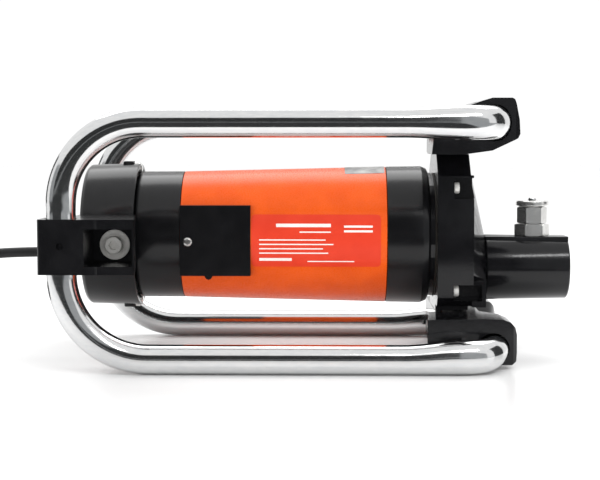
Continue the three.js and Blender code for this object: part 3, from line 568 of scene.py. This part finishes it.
# ---- Motor casing ----
def make_rear_cover():
    """The cover, with holes for the cable, the switch and the two clamp bolts."""
    rear, front, r = to_mm(COVER_REAR), to_mm(COVER_FRONT), COVER_RADIUS
    outline = [
        (rear, 0, 0), (rear, r - 3.6, 2.4), (rear + 3, r - 1.1, 2.4), (front, r, 0.8), (front, r - 3, 0.5),
        (rear + 4, r - 8, 1.5), (rear + 4, 0, 0),
    ]
    cover = new_piece("rear_cover_shell", lathe(outline, "X", (0, 0, MOTOR_Z)), MATERIALS["black_plastic"])
    tools = [
        rod(rear - 5, rear + 9, 5.2, "X", (0, 0, CABLE_Z), 40),
        block((rear - 5, rear + 9), (-11.3, 11.3), (102.7, 123.3)),
    ]
    for _, side in SIDES:
        low, high = sorted((side * 30, side * 60))
        tools.append(rod(low, high, CLAMP_BOLT_HOLE, "Y", (CLAMP_BOLT_X, 0, CLAMP_BOLT_Z), 32))
    combined(cover, tools)
    declare(cover, "body", ["rear_cover"])


def make_rear_cover_screws():
    """The rear cover's two long screws, above and below, each held in a small black ear on the rim."""
    ear_rear, ear_front, ear_side, ear_low, ear_high = -153, -144.4, 6.5, 51, 58.2
    for name, up in (("top", 1), ("bottom", -1)):
        z = MOTOR_Z + up * COVER_SCREW_REACH
        levels = sorted((MOTOR_Z + up * ear_low, MOTOR_Z + up * ear_high))
        ear = block((ear_rear, ear_front), (-ear_side, ear_side), levels, 1.0)
        declare(new_piece("cover_ear_" + name, ear, MATERIALS["black_plastic"]))
        head = lathe([
            (-144.2, 0, 0), (-144.2, 5.9, 0.4), (-141.2, 5.9, 0.6), (-138.4, 3.6, 2.2), (-137.9, 0, 0),
        ], "X", (0, 0, z), 40)
        screw = new_piece("cover_screw_head_" + name, head, PLATED)
        declare(screw, "body", ["cover_screw_" + name])


def make_housing():
    """The end shield, the orange housing with its two brush windows, and the front ring."""
    shield = lathe([
        (-138.9, 47, 0.4), (-138.9, 50, 0.8), (-104.2, 50.1, 0.3), (-104.2, 47, 0.3), (-125, 47, 0.5),
        (-125, 15, 0.5), (-115, 15, 0.5), (-115, 11.05, 0.2), (-129, 11.05, 0.2), (-129, 47, 0.3),
    ], "X", (0, 0, MOTOR_Z))
    declare(new_piece("end_shield_shell", shield, MATERIALS["black_plastic"]), "body",
            ["rear_end_shield"])
    rear, front = to_mm(HOUSING_REAR), to_mm(HOUSING_FRONT)
    shell = lathe([
        (rear, 47.1, 0.2), (rear, HOUSING_REAR_RADIUS, 0.7), (front, HOUSING_FRONT_RADIUS, 0.7),
        (front, 50.8, 0.2),
    ], "X", (0, 0, MOTOR_Z), 128)
    housing = new_piece("orange_housing", shell, MATERIALS["orange_plastic"])
    windows = [block((rear + 6, -53.6), sorted((side * 30, side * 60)), (72, 116)) for _, side in SIDES]
    combined(housing, windows)
    declare(housing, "body", ["motor_housing"])
    ring = lathe([
        (55.5, 50.5, 0), (55.5, 53.9, 0.7), (83, 54.25, 3), (87.2, 52.6, 1.0), (88.5, 50.2, 0.5),
        (88.5, 46, 0.5), (59.5, 47.5, 0.5),
    ], "X", (0, 0, MOTOR_Z), 128)
    declare(new_piece("front_ring_shell", ring, MATERIALS["black_plastic"]), "body",
            ["front_ring"])


def housing_radius(x):
    """The housing widens evenly from its rear to its front."""
    share = (x - to_mm(HOUSING_REAR)) / (to_mm(HOUSING_FRONT) - to_mm(HOUSING_REAR))
    return HOUSING_REAR_RADIUS + (HOUSING_FRONT_RADIUS - HOUSING_REAR_RADIUS) * share


def patch(name, x_range, z_range, corner, material, proud, thick, top=False):
    """A thin film with rounded corners, bent round the housing's right side or its crown in narrow bands."""
    x0, x1 = x_range
    z0, z1 = z_range
    outline = filleted([(x0, z0, corner), (x1, z0, corner), (x1, z1, corner), (x0, z1, corner)], 5)
    bm = bmesh.new()
    ring = [bm.verts.new((x, 0, z)) for x, z in outline]
    bm.faces.new(ring)
    band = 3
    bands = max(2, int((z1 - z0) / band))
    for k in range(1, bands):
        level = z0 + (z1 - z0) * k / bands
        geometry = [*bm.verts, *bm.edges, *bm.faces]
        bmesh.ops.bisect_plane(bm, geom=geometry, plane_co=(0, 0, level), plane_no=(0, 0, 1))
    skin = bmesh.ops.extrude_face_region(bm, geom=list(bm.faces))
    lifted = {v for v in skin["geom"] if isinstance(v, bmesh.types.BMVert)}
    for v in bm.verts:
        x, z = v.co.x, v.co.z
        reach = housing_radius(x) + proud + (thick if v in lifted else 0)
        if top:
            v.co = (x * MM, z * MM, (MOTOR_Z + math.sqrt(reach ** 2 - z ** 2)) * MM)
        else:
            v.co = (x * MM, -math.sqrt(reach ** 2 - (z - MOTOR_Z) ** 2) * MM, z * MM)
    return new_piece(name, bm, material, 40)


def make_labels():
    """A blank rating label with plain bars where print would be, and a grey sticker on the crown."""
    label = patch("rating_label", (-49, 50.3), (73.8, 114), 3.0, LABEL, 0.02, 0.22)
    declare(label)
    rows = [
        (104.5, 2.6, (-30, 12)), (100.2, 1.0, (-12, 12)), (104.2, 1.6, (22, 44)), (100.6, 1.6, (22, 44)),
        (94.2, 0.9, (-43, 8)), (90.8, 0.9, (-43, 14)), (87.4, 0.9, (-43, 6)), (84.0, 0.9, (-43, 10)),
        (78.4, 2.2, (-43, -18)), (77.6, 0.8, (-6, 30)),
    ]
    for index, (z, tall, (x0, x1)) in enumerate(rows):
        bar = patch("label_bar_%d" % index, (x0, x1), (z, z + tall), 0.3, PRINT, 0.26, 0.04)
        bar.parent = label
    sticker = patch("crown_sticker", (23, 54), (-22, 8), 1.5, STICKER, 0.02, 0.2, top=True)
    declare(sticker)


# ---- Brush covers and their screws ----
def cross_slot(half_x, half_z, depth):
    """One bar of the cross in a brush screw's head."""
    return block((BRUSH_SCREW_X - half_x, BRUSH_SCREW_X + half_x), depth,
                 (BRUSH_SCREW_Z - half_z, BRUSH_SCREW_Z + half_z))


def make_brush_covers():
    for name, side in SIDES:
        cover = refined("brush_cover_" + name, "brush_cover_panel_" + name, 0.9, MATERIALS["black_plastic"])
        declare(cover, "body", ["brush_cover_" + name])
        face = side * 52.4
        head = lathe([
            (side * 50.3, 0, 0), (side * 50.3, 1.6, 0), (side * 50.9, 3.4, 0.2), (side * 51.6, 3.4, 0.4),
            (face, 2.2, 0.8), (face, 0, 0),
        ], "Y", (BRUSH_SCREW_X, 0, BRUSH_SCREW_Z), 32)
        screw = new_piece("brush_screw_" + name, head, PLATED)
        depth = sorted((side * 51.5, side * 53))
        combined(screw, [cross_slot(0.5, 2, depth), cross_slot(2, 0.5, depth)])
        declare(screw, "body", ["brush_cover_screw_" + name])


# ---- Gear housing, nozzle and lock pin ----
def make_gear_housing():
    casting = refined("gear_housing", "gear_housing_casting", 1.1, MATERIALS["black_paint"])
    declare(casting, "body", ["gear_housing"])
    for name, side in SIDES:
        for level, z in (("low", 55), ("high", 134.4)):
            screw = lathe([
                (106.4, 0, 0), (106.4, 4.4, 0.3), (110.4, 4.4, 0.8), (110.4, 2.4, 0.2), (108.2, 2.3, 0.2),
                (108.2, 0, 0),
            ], "X", (0, side * 45, z), 32)
            declare(new_piece("gearbox_screw_%s_%s" % (level, name), screw, ZINC))


def make_nozzle():
    """The open tube, with the flat seat and the hole for the lock pin on top."""
    outline = [
        (134.2, 19, 0.4), (134.2, 26, 1.0), (198.6, 24.95, 0.3), (199.65, 23.9, 0.4), (199.65, 19.4, 0.3),
        (199.2, 19, 0.2),
    ]
    nozzle = new_piece("nozzle_tube", lathe(outline, "X", (0, 0, SPINDLE_Z), 128), MATERIALS["black_paint"])
    combined(nozzle, [block((134.2, 199.6), (-13, 13), (90.6, 94.9), 0.5)], "UNION")
    combined(nozzle, [rod(80, 100, 4.4, "Z", (LOCK_X, 0, 0), 40)])
    declare(nozzle, "body", ["shaft_nozzle"])


def chamfered_hex(name, across, low, high, bore):
    """A bored hexagon on the lock pin's axis, its corners turned down by a cone at both ends."""
    axis = (LOCK_X, 0, 0)
    corner = across / math.sqrt(3)
    piece = new_piece(name, prism(hexagon(across, axis), low, high, "Z"), PLATED)
    cone = lathe([
        (low, 0, 0), (low, corner - 1.3, 0), (low + 0.8, corner + 0.1, 0), (high - 0.8, corner + 0.1, 0),
        (high, corner - 1.3, 0), (high, 0, 0),
    ], "Z", axis, 72)
    combined(piece, [cone], "INTERSECT")
    return combined(piece, [rod(low - 1, high + 1, bore, "Z", axis, 48)])


def make_lock():
    """The nut and the barrel on the nozzle, and the pin with its cap, which slides in them."""
    axis = (LOCK_X, 0, 0)
    nut = chamfered_hex("lock_nut_hex", 24, 95.2, 104.5, 7.2)
    declare(nut, "body", ["lock_nut"])
    bore = 3.2
    barrel = chamfered_hex("lock_barrel_hex", 20.5, 104.8, 118.0, bore)
    stem = lathe([(95.6, bore, 0), (95.6, 6.9, 0.4), (105.6, 6.9, 0), (105.6, bore, 0)], "Z", axis, 48)
    combined(barrel, [stem], "UNION")
    declare(barrel, "body", ["lock_barrel"])
    cap = lathe([
        (118.3, 3.05, 0.2), (118.3, 12.2, 0.7), (119.2, 13, 0.6), (122.0, 13, 0.6), (122.9, 12.2, 0.8),
        (122.9, 3.05, 0.3),
    ], "Z", axis, 72)
    declare(new_piece("lock_cap_disc", cap, PLATED), "lock_plunger", ["lock_cap"])
    r, collar = LOCK_PIN_RADIUS, 4.9
    pin = lathe([
        (85.2, 0, 0), (85.2, 2.0, 0.8), (86.7, r, 0.5), (99.6, r, 0), (99.6, collar, 0.3),
        (101.4, collar, 0.3), (101.4, r, 0), (123.2, r, 0), (123.2, 3.3, 0.3), (125.1, 2.9, 1.2),
        (125.5, 0, 0),
    ], "Z", axis, 40)
    declare(new_piece("lock_pin_rod", pin, MATERIALS["chrome"]), "lock_plunger", ["lock_pin"])


def make_lock_spring():
    """The spring between the pin's collar and the barrel's roof."""
    low, high = (corner.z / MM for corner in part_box("lock_spring"))
    wire, turns, steps, sides = 0.6, 5, 24, 10
    mean, pitch = 4.05, (high - low - 2 * wire) / turns
    spokes = [2 * math.pi * k / sides for k in range(sides)]
    bm = bmesh.new()
    rings = []
    for step in range(turns * steps + 1):
        turn = 2 * math.pi * step / steps
        out = Vector((math.cos(turn), math.sin(turn), 0))
        centre = Vector((LOCK_X, 0, low + wire + pitch * step / steps)) + out * mean
        offsets = [(out * math.cos(a) + Vector((0, 0, math.sin(a)))) * wire for a in spokes]
        rings.append([bm.verts.new((centre + offset) * MM) for offset in offsets])
    for ring, after in zip(rings, rings[1:]):
        for k in range(sides):
            j = (k + 1) % sides
            bm.faces.new((ring[k], ring[j], after[j], after[k]))
    bm.faces.new(rings[0])
    bm.faces.new(rings[-1])
    spring = new_piece("lock_spring_coil", bm, PLATED)
    declare(spring, "body", ["lock_spring"])
    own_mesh(spring)


# ---- Crossbars and clamp blocks ----
def shank(tip, seat, axis, centre):
    """The shank of an M8 bolt, from its tip to its head's seat."""
    outline = [(tip, 0, 0), (tip, BOLT_SHANK, 0.6), (seat, BOLT_SHANK, 0), (seat, 0, 0)]
    return lathe(outline, axis, centre, 32)


def make_crossbars():
    for level in ("top", "bottom"):
        bar = refined("crossbar_" + level, "crossbar_casting_" + level, 1.5, MATERIALS["black_paint"])
        declare(bar, "body", ["crossbar_" + level])
    for level, seat, tip, up in (("top", 184.3, 148.3, 1), ("bottom", 13.7, 49.7, -1)):
        for name, side in SIDES:
            axis = (CROSSBAR_BOLT_X, side * CROSSBAR_BOLT_Y, 0)
            head = lathe([
                (seat, 0, 0), (seat, 6.5, 0.2), (seat + up * 5, 6.5, 0.6), (seat + up * 5, 3.2, 0.2),
                (seat + up * 2, 3.1, 0.2), (seat + up * 2, 0, 0),
            ], "Z", axis, 40)
            bolt = new_piece("crossbar_bolt_head_%s_%s" % (level, name), head, PLATED)
            combined(bolt, [shank(tip, seat, "Z", axis)], "UNION")
            declare(bolt, "body", ["crossbar_bolt_%s_%s" % (level, name)])


def make_clamps():
    """Each clamp block with its washer, its socket-head bolt and the small screw into the tube."""
    for name, side in SIDES:
        clamp = refined("clamp_block_" + name, "clamp_block_body_" + name, 1.3, MATERIALS["black_plastic"])
        declare(clamp, "body", ["clamp_block_" + name])
        place = (CLAMP_BOLT_X, 0, CLAMP_BOLT_Z)
        inner, outer = side * 80.3, side * 81.9
        disc = lathe([
            (inner, CLAMP_BOLT_HOLE, 0.2), (inner, 11.3, 0.4), (outer, 11.3, 0.4),
            (outer, CLAMP_BOLT_HOLE, 0.2),
        ], "Y", place, 56)
        washer = new_piece("clamp_washer_disc_" + name, disc, ZINC)
        declare(washer, "body", ["clamp_washer_" + name])
        inner, outer = side * 82.2, side * 90.2
        head = lathe([(inner, 0, 0), (inner, 6.4, 0.3), (outer, 6.4, 0.8), (outer, 0, 0)], "Y", place, 48)
        bolt = new_piece("clamp_bolt_socket_" + name, head, ZINC)
        combined(bolt, [shank(side * 38, side * 83, "Y", place)], "UNION")
        low, high = sorted((side * 85.7, side * 92))
        combined(bolt, [prism(hexagon(6.2, (CLAMP_BOLT_X, CLAMP_BOLT_Z)), low, high, "Y")])
        declare(bolt, "body", ["clamp_bolt_" + name])
        inner, outer = side * 121.2, side * 124.2
        grub = lathe([
            (inner, 0, 0), (inner, 2.3, 0.2), (outer, 2.3, 0.5), (outer, 0, 0),
        ], "Y", (-183.15, 0, 94.5), 28)
        declare(new_piece("tube_screw_" + name, grub, MATERIALS["black_paint"]))


# ---- Switch, strain relief, coil tie and plug ----
def make_switch():
    frame_piece = refined("switch_body", "switch_frame", 0.6, MATERIALS["black_plastic"])
    declare(frame_piece, "body", ["switch_body"])
    rocker = refined("switch_rocker", "switch_rocker_cap", 0.5, MATERIALS["red_plastic"])
    declare(rocker, "rocker", ["switch_rocker"])


def make_strain_relief():
    """A collar and a tapered sleeve with seven grooves cut round it, so that it bends."""
    root, tip, collar = -181.2, -219.2, 9
    outline = [(root, 0, 0), (root, collar, 0.5), (root - 4, collar, 0.8), (root - 4, 7.6, 0.3)]
    count, root_radius, tip_radius = 7, 7.5, 5.5
    first, last = root - 8.5, tip + 4
    for k in range(count):
        x = first + (last - first) * k / (count - 1)
        r = root_radius + (tip_radius - root_radius) * k / (count - 1)
        outline += [
            (x + 1.2, r, 0.4), (x + 0.9, r - 1.1, 0.2), (x - 0.9, r - 1.15, 0.2), (x - 1.2, r - 0.1, 0.4),
        ]
    outline += [(tip, 5.3, 0.7), (tip, 4.05, 0.2), (tip + 24, 4.05, 0), (tip + 24, 0, 0)]
    sleeve = lathe(outline, "X", (0, 0, CABLE_Z), 48)
    return new_piece("cord_strain_relief", sleeve, MATERIALS["rubber"])


def strap_outline(inset, corner):
    """The strap's shape round the coil's cross-section: distance from the coil's centre, and height."""
    inner, outer, low, high = 32.9 + inset, 57.2 - inset, 0.15 + inset, 24.3 - inset
    corners = [(inner, low, corner), (outer, low, corner), (outer, high, corner), (inner, high, corner)]
    return filleted(corners, 6)


def make_coil_tie():
    """A strap round the coil's cross-section."""
    outside, inside = strap_outline(0, 5), strap_outline(0.9, 4.2)
    tie_angle = math.radians(-140)
    half_width = 5.5
    bm = bmesh.new()
    along = Vector((math.cos(tie_angle), math.sin(tie_angle), 0))
    across = Vector((-math.sin(tie_angle), math.cos(tie_angle), 0))
    centre = Vector((*COIL_CENTRE, 0))
    edges = ((outside, -half_width), (outside, half_width), (inside, half_width), (inside, -half_width))
    loops = []
    for points, shift in edges:
        places = [centre + along * r + across * shift + Vector((0, 0, z)) for r, z in points]
        loops.append([bm.verts.new(place * MM) for place in places])
    for loop, after in zip(loops, loops[1:] + loops[:1]):
        for k in range(len(loop)):
            j = (k + 1) % len(loop)
            bm.faces.new((loop[k], loop[j], after[j], after[k]))
    return new_piece("coil_tie", bm, MATERIALS["rubber"])


def make_plug():
    """A moulded two-pin plug beside the coil, with rings round its neck and a grip on either side."""
    x, y, z = PLUG_REAR
    outline = [(x, 0, 0), (x, 4.9, 0.5)]
    neck_rings, spacing, widening = 5, 3.4, 0.45
    for k in range(neck_rings):
        station = x + spacing + spacing * k
        r = 5.4 + widening * k
        outline += [(station - 1.1, r, 0.4), (station + 1.1, r, 0.4), (station + 1.1, r - 0.8, 0.2),
                    (station + 2.2, r - 0.7, 0.2)]
    outline += [
        (x + 21, 7.5, 1.5), (x + 22, 12, 3), (x + 32, 17.4, 6), (x + 48, 18.4, 1.2), (x + 50, 17.4, 0.6),
        (x + 50, 0, 0),
    ]
    plug = new_piece("mains_plug", lathe(outline, "X", (0, y, z), 64), MATERIALS["rubber"])
    grips, pins = [], []
    for letter, side in (("a", -1), ("b", 1)):
        grip_y = y + side * 17.2
        grips.append(block((x + 26, x + 44), (grip_y - 2.4, grip_y + 2.4), (z - 7, z + 7), 1.2))
        outline = [(x + 46, 0, 0), (x + 46, 2.4, 0), (x + 69, 2.4, 1.8), (x + 69, 0, 0)]
        pin = lathe(outline, "X", (0, y + side * 9.5, z), 28)
        pins.append(new_piece("plug_pin_" + letter, pin, PLATED))
    combined(plug, grips)
    return plug, pins


# ---- Carried-over CAD nodes ----
def dress_frame():
    slots = {part["node"]: part["material_slot"] for part in frame["record"]["subparts"]}
    for node, obj in frame["nodes"].items():
        material = MATERIALS[slots[node]]
        for place in obj.material_slots:
            place.material = material
        if not obj.material_slots:
            obj.data.materials.append(material)


# ---- Floor, flags and lights ----
def floor_material():
    nodes = Nodes("studio_floor")
    clouds = nodes.noise(4.0, 2.0)
    greys = nodes.colours(clouds, (0.93, 0.93, 0.93), (0.95, 0.95, 0.95))
    nodes.link(greys, nodes.shader.inputs["Base Color"])
    nodes.link(nodes.ramp(clouds, 0.2, 0.24), nodes.shader.inputs["Roughness"])
    nodes.shader.inputs["Specular IOR Level"].default_value = 0.25
    return nodes.material


def flag_material(name, strength):
    """A black sheet with an even glow."""
    material = bpy.data.materials.new(name)
    material.use_nodes = True
    shader = material.node_tree.nodes["Principled BSDF"]
    shader.inputs["Base Color"].default_value = (0, 0, 0, 1)
    shader.inputs["Specular IOR Level"].default_value = 0
    shader.inputs["Emission Color"].default_value = (0.95, 0.98, 1, 1)
    shader.inputs["Emission Strength"].default_value = strength
    return material


def sheet_object(name, corners, material):
    bm = bmesh.new()
    bm.faces.new([bm.verts.new(c) for c in corners])
    sheet = new_piece(name, bm, material)
    return sheet


def make_flags():
    """Black and grey sheets on the studio's floor, sides and back, seen only in what is glossy."""
    edge, back, top, left, middle, right = -0.36, -2.6, 2.0, -3.8, 0.35, 5
    sheets = [
        ("flag_low_left", (left, middle), (edge, back), (0.001, 0.001), 0.05),
        ("flag_low_right", (middle, right), (edge, back), (0.001, 0.001), 0.42),
        ("flag_back_left", (left, middle), (back, back), (0, top), 0.04),
        ("flag_back_right", (middle, right), (back, back), (0, top), 0.42),
        ("flag_strip", (left, middle), (back + 0.05, back + 0.05), (0.22, 0.36), 0.3),
        ("flag_side", (3, 3), (-0.4, 1.4), (0, 2.2), 0.05),
        ("flag_left", (left, left), (back, -0.3), (0, 1.5), 0.38),
        ("flag_far_left", (-2.6, -2.6), (1.2, 3), (0, 1.2), 0.05),
    ]
    for name, (x0, x1), (y0, y1), (z0, z1), strength in sheets:
        second_y, fourth_y = (y1, y0) if z1 > z0 else (y0, y1)
        corners = [(x0, y0, z0), (x1, second_y, z0), (x1, y1, z1), (x0, fourth_y, z1)]
        flag = sheet_object(name, corners, flag_material(name, strength))
        flag.visible_camera = False
        flag.visible_diffuse = False
        flag.visible_shadow = False
        flag.visible_transmission = False


def make_studio():
    far = 9.0
    sheet_object("floor", [(-far, -far, 0), (far, -far, 0), (far, far, 0), (-far, far, 0)], floor_material())
    make_flags()
    world = bpy.data.worlds.new("studio")
    world.use_nodes = True
    background = world.node_tree.nodes["Background"]
    background.inputs["Color"].default_value = (1, 1, 1, 1)
    background.inputs["Strength"].default_value = 1.04
    bpy.context.scene.world = world
    lights = [
        ("softbox", (0.75, -1.36, 1.6), (0, 0, 0.1), (1.3, 0.22), 12, True),
        ("top_back", (0, 1.1, 1.8), (0, 0, 0.1), (2.4, 1.2), 26, True),
        ("fill", (0, -1.5, 0.06), (0, 0, 0.08), (2.4, 0.1), 13, False),
    ]
    for name, place, target, size, power, glossy in lights:
        data = bpy.data.lights.new(name, "AREA")
        data.shape = "RECTANGLE"
        data.size, data.size_y = size
        data.energy = power
        light = bpy.data.objects.new(name, data)
        light.location = place
        light.visible_glossy = glossy
        light.rotation_euler = (Vector(target) - Vector(place)).to_track_quat("-Z", "Y").to_euler()
        bpy.context.scene.collection.objects.link(light)
    bpy.context.scene.view_settings.view_transform = "Standard"


def make_cable_pieces():
    cord, length = make_cord(MATERIALS["rubber"])
    relief = make_strain_relief()
    tie = make_coil_tie()
    plug, pins = make_plug()
    declare(cord, "body", ["cable", "cable_coil"])
    declare(relief, "body", ["strain_relief"])
    declare(tie)
    declare(plug, "body", ["plug"])
    for pin in pins:
        declare(pin)


make_cable_pieces()
dress_frame()
make_handles()
make_rear_cover()
make_rear_cover_screws()
make_housing()
make_labels()
make_brush_covers()
make_gear_housing()
make_nozzle()
make_lock()
make_lock_spring()
make_crossbars()
make_clamps()
make_switch()
make_studio()
